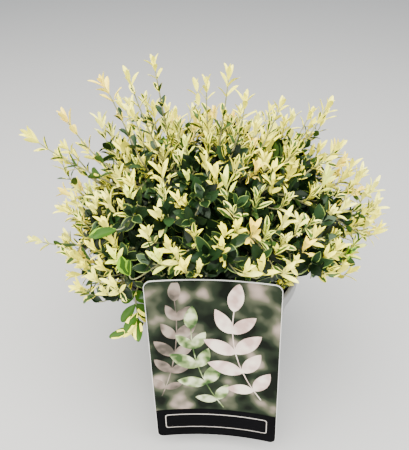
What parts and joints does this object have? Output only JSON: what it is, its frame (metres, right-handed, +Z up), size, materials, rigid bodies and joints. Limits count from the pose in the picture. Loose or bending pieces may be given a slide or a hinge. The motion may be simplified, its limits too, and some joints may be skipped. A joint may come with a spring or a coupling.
{
  "type": "potted variegated wintercreeper shrub",
  "caption": "Dwarf evergreen shrub with cream shoot tips and green-and-cream leaves, growing in a light grey nursery pot with a picture card hooked over its rim.",
  "frame": {"origin": "middle of the pot's flat underside", "axes": "+Z up, -Y towards the side with the picture card, +X to the right seen from that side"},
  "size_m": [0.278, 0.2345, 0.2843],
  "materials": {
    "pot_plastic": "satin",
    "compost": "matte",
    "printed_plastic": "gloss",
    "bark": "matte",
    "leaves": "satin"
  },
  "bodies": {
    "root": {"pot": "pot_plastic", "compost": "compost", "card": "printed_plastic", "stem": "bark", "bough_top": "bark", "bough_shoulder_1": "bark", "bough_shoulder_2": "bark", "bough_shoulder_3": "bark", "bough_shoulder_4": "bark", "bough_shoulder_5": "bark", "bough_shoulder_6": "bark", "bough_skirt_1": "bark", "bough_skirt_2": "bark", "bough_skirt_3": "bark", "bough_skirt_4": "bark", "bough_skirt_5": "bark", "bough_skirt_6": "bark", "bough_skirt_7": "bark", "bough_skirt_8": "bark", "foliage_top": "leaves", "foliage_shoulder_1": "leaves", "foliage_shoulder_2": "leaves", "foliage_shoulder_3": "leaves", "foliage_shoulder_4": "leaves", "foliage_shoulder_5": "leaves", "foliage_shoulder_6": "leaves", "foliage_skirt_1": "leaves", "foliage_skirt_2": "leaves", "foliage_skirt_3": "leaves", "foliage_skirt_4": "leaves", "foliage_skirt_5": "leaves", "foliage_skirt_6": "leaves", "foliage_skirt_7": "leaves", "foliage_skirt_8": "leaves"}
  },
  "joints": []
}
